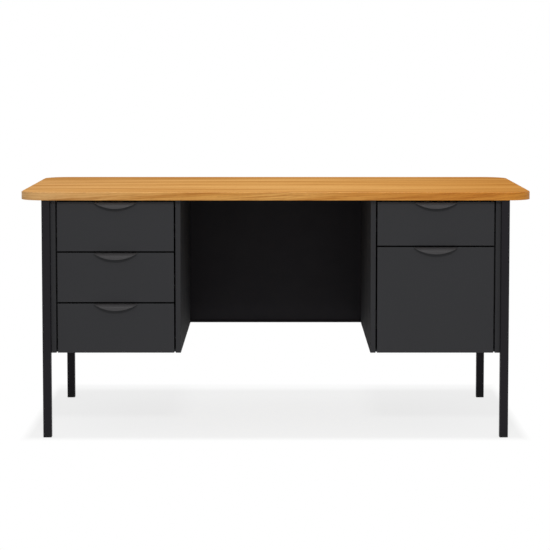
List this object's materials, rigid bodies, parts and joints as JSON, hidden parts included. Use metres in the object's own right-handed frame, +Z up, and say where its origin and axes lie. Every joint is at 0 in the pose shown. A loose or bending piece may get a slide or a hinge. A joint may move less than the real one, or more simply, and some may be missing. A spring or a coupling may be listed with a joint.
{
  "type": "pedestal desk",
  "caption": "Steel desk with a wood-grain top on square legs, a drawer pedestal at each end, a knee space between them and a full-width back panel.",
  "frame": {"origin": "on the floor, under the middle of the worktop", "axes": "+X to the right seen from the user's side, +Y to the back panel, +Z up"},
  "size_m": [1.524, 0.762, 0.737],
  "materials": {
    "laminate": "satin wood-grain laminate",
    "edge_band": "satin wood-grain edge band",
    "particle_board": "raw particle board",
    "backer": "matt tan backer sheet",
    "leg_paint": "black powder coat",
    "foot_plastic": "moulded black plastic",
    "panel_paint": "charcoal powder coat",
    "front_paint": "charcoal powder coat",
    "pull_paint": "charcoal powder coat",
    "tray_paint": "charcoal powder coat",
    "slide_steel": "zinc-plated steel",
    "cage_steel": "pressed steel",
    "screw_steel": "zinc-plated steel"
  },
  "bodies": {
    "desk": {"top_laminate": "laminate", "top_edge_band": "edge_band", "top_core": "particle_board", "top_backer": "backer", "front_left_leg": "leg_paint", "front_right_leg": "leg_paint", "rear_left_leg": "leg_paint", "rear_right_leg": "leg_paint", "left_end_rail": "leg_paint", "right_end_rail": "leg_paint", "leg_feet": "foot_plastic", "back_panel": "leg_paint", "left_pedestal_outer_side": "panel_paint", "left_pedestal_inner_side": "panel_paint", "left_pedestal_back": "panel_paint", "left_pedestal_bottom": "panel_paint", "left_pedestal_top_rails": "panel_paint", "left_pedestal_uprights": "panel_paint", "right_pedestal_outer_side": "panel_paint", "right_pedestal_inner_side": "panel_paint", "right_pedestal_back": "panel_paint", "right_pedestal_bottom": "panel_paint", "right_pedestal_top_rails": "panel_paint", "right_pedestal_uprights": "panel_paint", "left_upper_cabinet_rails": "slide_steel", "left_middle_cabinet_rails": "slide_steel", "left_lower_cabinet_rails": "slide_steel", "right_box_cabinet_rails": "slide_steel", "right_file_cabinet_rails": "slide_steel", "top_screws": "screw_steel"},
    "left_upper_drawer": {"left_upper_drawer_front": "front_paint", "left_upper_drawer_pull": "pull_paint", "left_upper_drawer_body": "tray_paint", "left_upper_drawer_rails": "slide_steel"},
    "left_upper_cages": {"left_upper_ball_cages": "cage_steel"},
    "left_middle_drawer": {"left_middle_drawer_front": "front_paint", "left_middle_drawer_pull": "pull_paint", "left_middle_drawer_body": "tray_paint", "left_middle_drawer_rails": "slide_steel"},
    "left_middle_cages": {"left_middle_ball_cages": "cage_steel"},
    "left_lower_drawer": {"left_lower_drawer_front": "front_paint", "left_lower_drawer_pull": "pull_paint", "left_lower_drawer_body": "tray_paint", "left_lower_drawer_rails": "slide_steel"},
    "left_lower_cages": {"left_lower_ball_cages": "cage_steel"},
    "right_box_drawer": {"right_box_drawer_front": "front_paint", "right_box_drawer_pull": "pull_paint", "right_box_drawer_body": "tray_paint", "right_box_drawer_rails": "slide_steel"},
    "right_box_cages": {"right_box_ball_cages": "cage_steel"},
    "right_file_drawer": {"right_file_drawer_front": "front_paint", "right_file_drawer_pull": "pull_paint", "right_file_drawer_body": "tray_paint", "right_file_drawer_rails": "slide_steel", "right_file_hanging_rails": "slide_steel"},
    "right_file_middle": {"right_file_middle_rails": "slide_steel"},
    "right_file_outer_cage": {"right_file_outer_cages": "cage_steel"},
    "right_file_inner_cage": {"right_file_inner_cages": "cage_steel"}
  },
  "joints": [
    {"name": "left_upper_drawer_slide", "type": "slide", "parent": "desk", "child": "left_upper_drawer", "axis": [0, -1, 0], "range_m": [0, 0.42]},
    {"name": "left_upper_cage_travel", "type": "slide", "parent": "desk", "child": "left_upper_cages", "axis": [0, -1, 0], "range_m": [0, 0.21]},
    {"name": "left_middle_drawer_slide", "type": "slide", "parent": "desk", "child": "left_middle_drawer", "axis": [0, -1, 0], "range_m": [0, 0.42]},
    {"name": "left_middle_cage_travel", "type": "slide", "parent": "desk", "child": "left_middle_cages", "axis": [0, -1, 0], "range_m": [0, 0.21]},
    {"name": "left_lower_drawer_slide", "type": "slide", "parent": "desk", "child": "left_lower_drawer", "axis": [0, -1, 0], "range_m": [0, 0.42]},
    {"name": "left_lower_cage_travel", "type": "slide", "parent": "desk", "child": "left_lower_cages", "axis": [0, -1, 0], "range_m": [0, 0.21]},
    {"name": "right_box_drawer_slide", "type": "slide", "parent": "desk", "child": "right_box_drawer", "axis": [0, -1, 0], "range_m": [0, 0.42]},
    {"name": "right_box_cage_travel", "type": "slide", "parent": "desk", "child": "right_box_cages", "axis": [0, -1, 0], "range_m": [0, 0.21]},
    {"name": "right_file_drawer_slide", "type": "slide", "parent": "desk", "child": "right_file_drawer", "axis": [0, -1, 0], "range_m": [0, 0.6]},
    {"name": "right_file_middle_travel", "type": "slide", "parent": "desk", "child": "right_file_middle", "axis": [0, -1, 0], "range_m": [0, 0.3]},
    {"name": "right_file_outer_cage_travel", "type": "slide", "parent": "desk", "child": "right_file_outer_cage", "axis": [0, -1, 0], "range_m": [0, 0.15]},
    {"name": "right_file_inner_cage_travel", "type": "slide", "parent": "desk", "child": "right_file_inner_cage", "axis": [0, -1, 0], "range_m": [0, 0.45]}
  ],
  "couplings": [
    {"joint": "left_upper_cage_travel", "follows": "left_upper_drawer_slide", "ratio": 0.5},
    {"joint": "left_middle_cage_travel", "follows": "left_middle_drawer_slide", "ratio": 0.5},
    {"joint": "left_lower_cage_travel", "follows": "left_lower_drawer_slide", "ratio": 0.5},
    {"joint": "right_box_cage_travel", "follows": "right_box_drawer_slide", "ratio": 0.5},
    {"joint": "right_file_middle_travel", "follows": "right_file_drawer_slide", "ratio": 0.5},
    {"joint": "right_file_outer_cage_travel", "follows": "right_file_drawer_slide", "ratio": 0.25},
    {"joint": "right_file_inner_cage_travel", "follows": "right_file_drawer_slide", "ratio": 0.75}
  ]
}
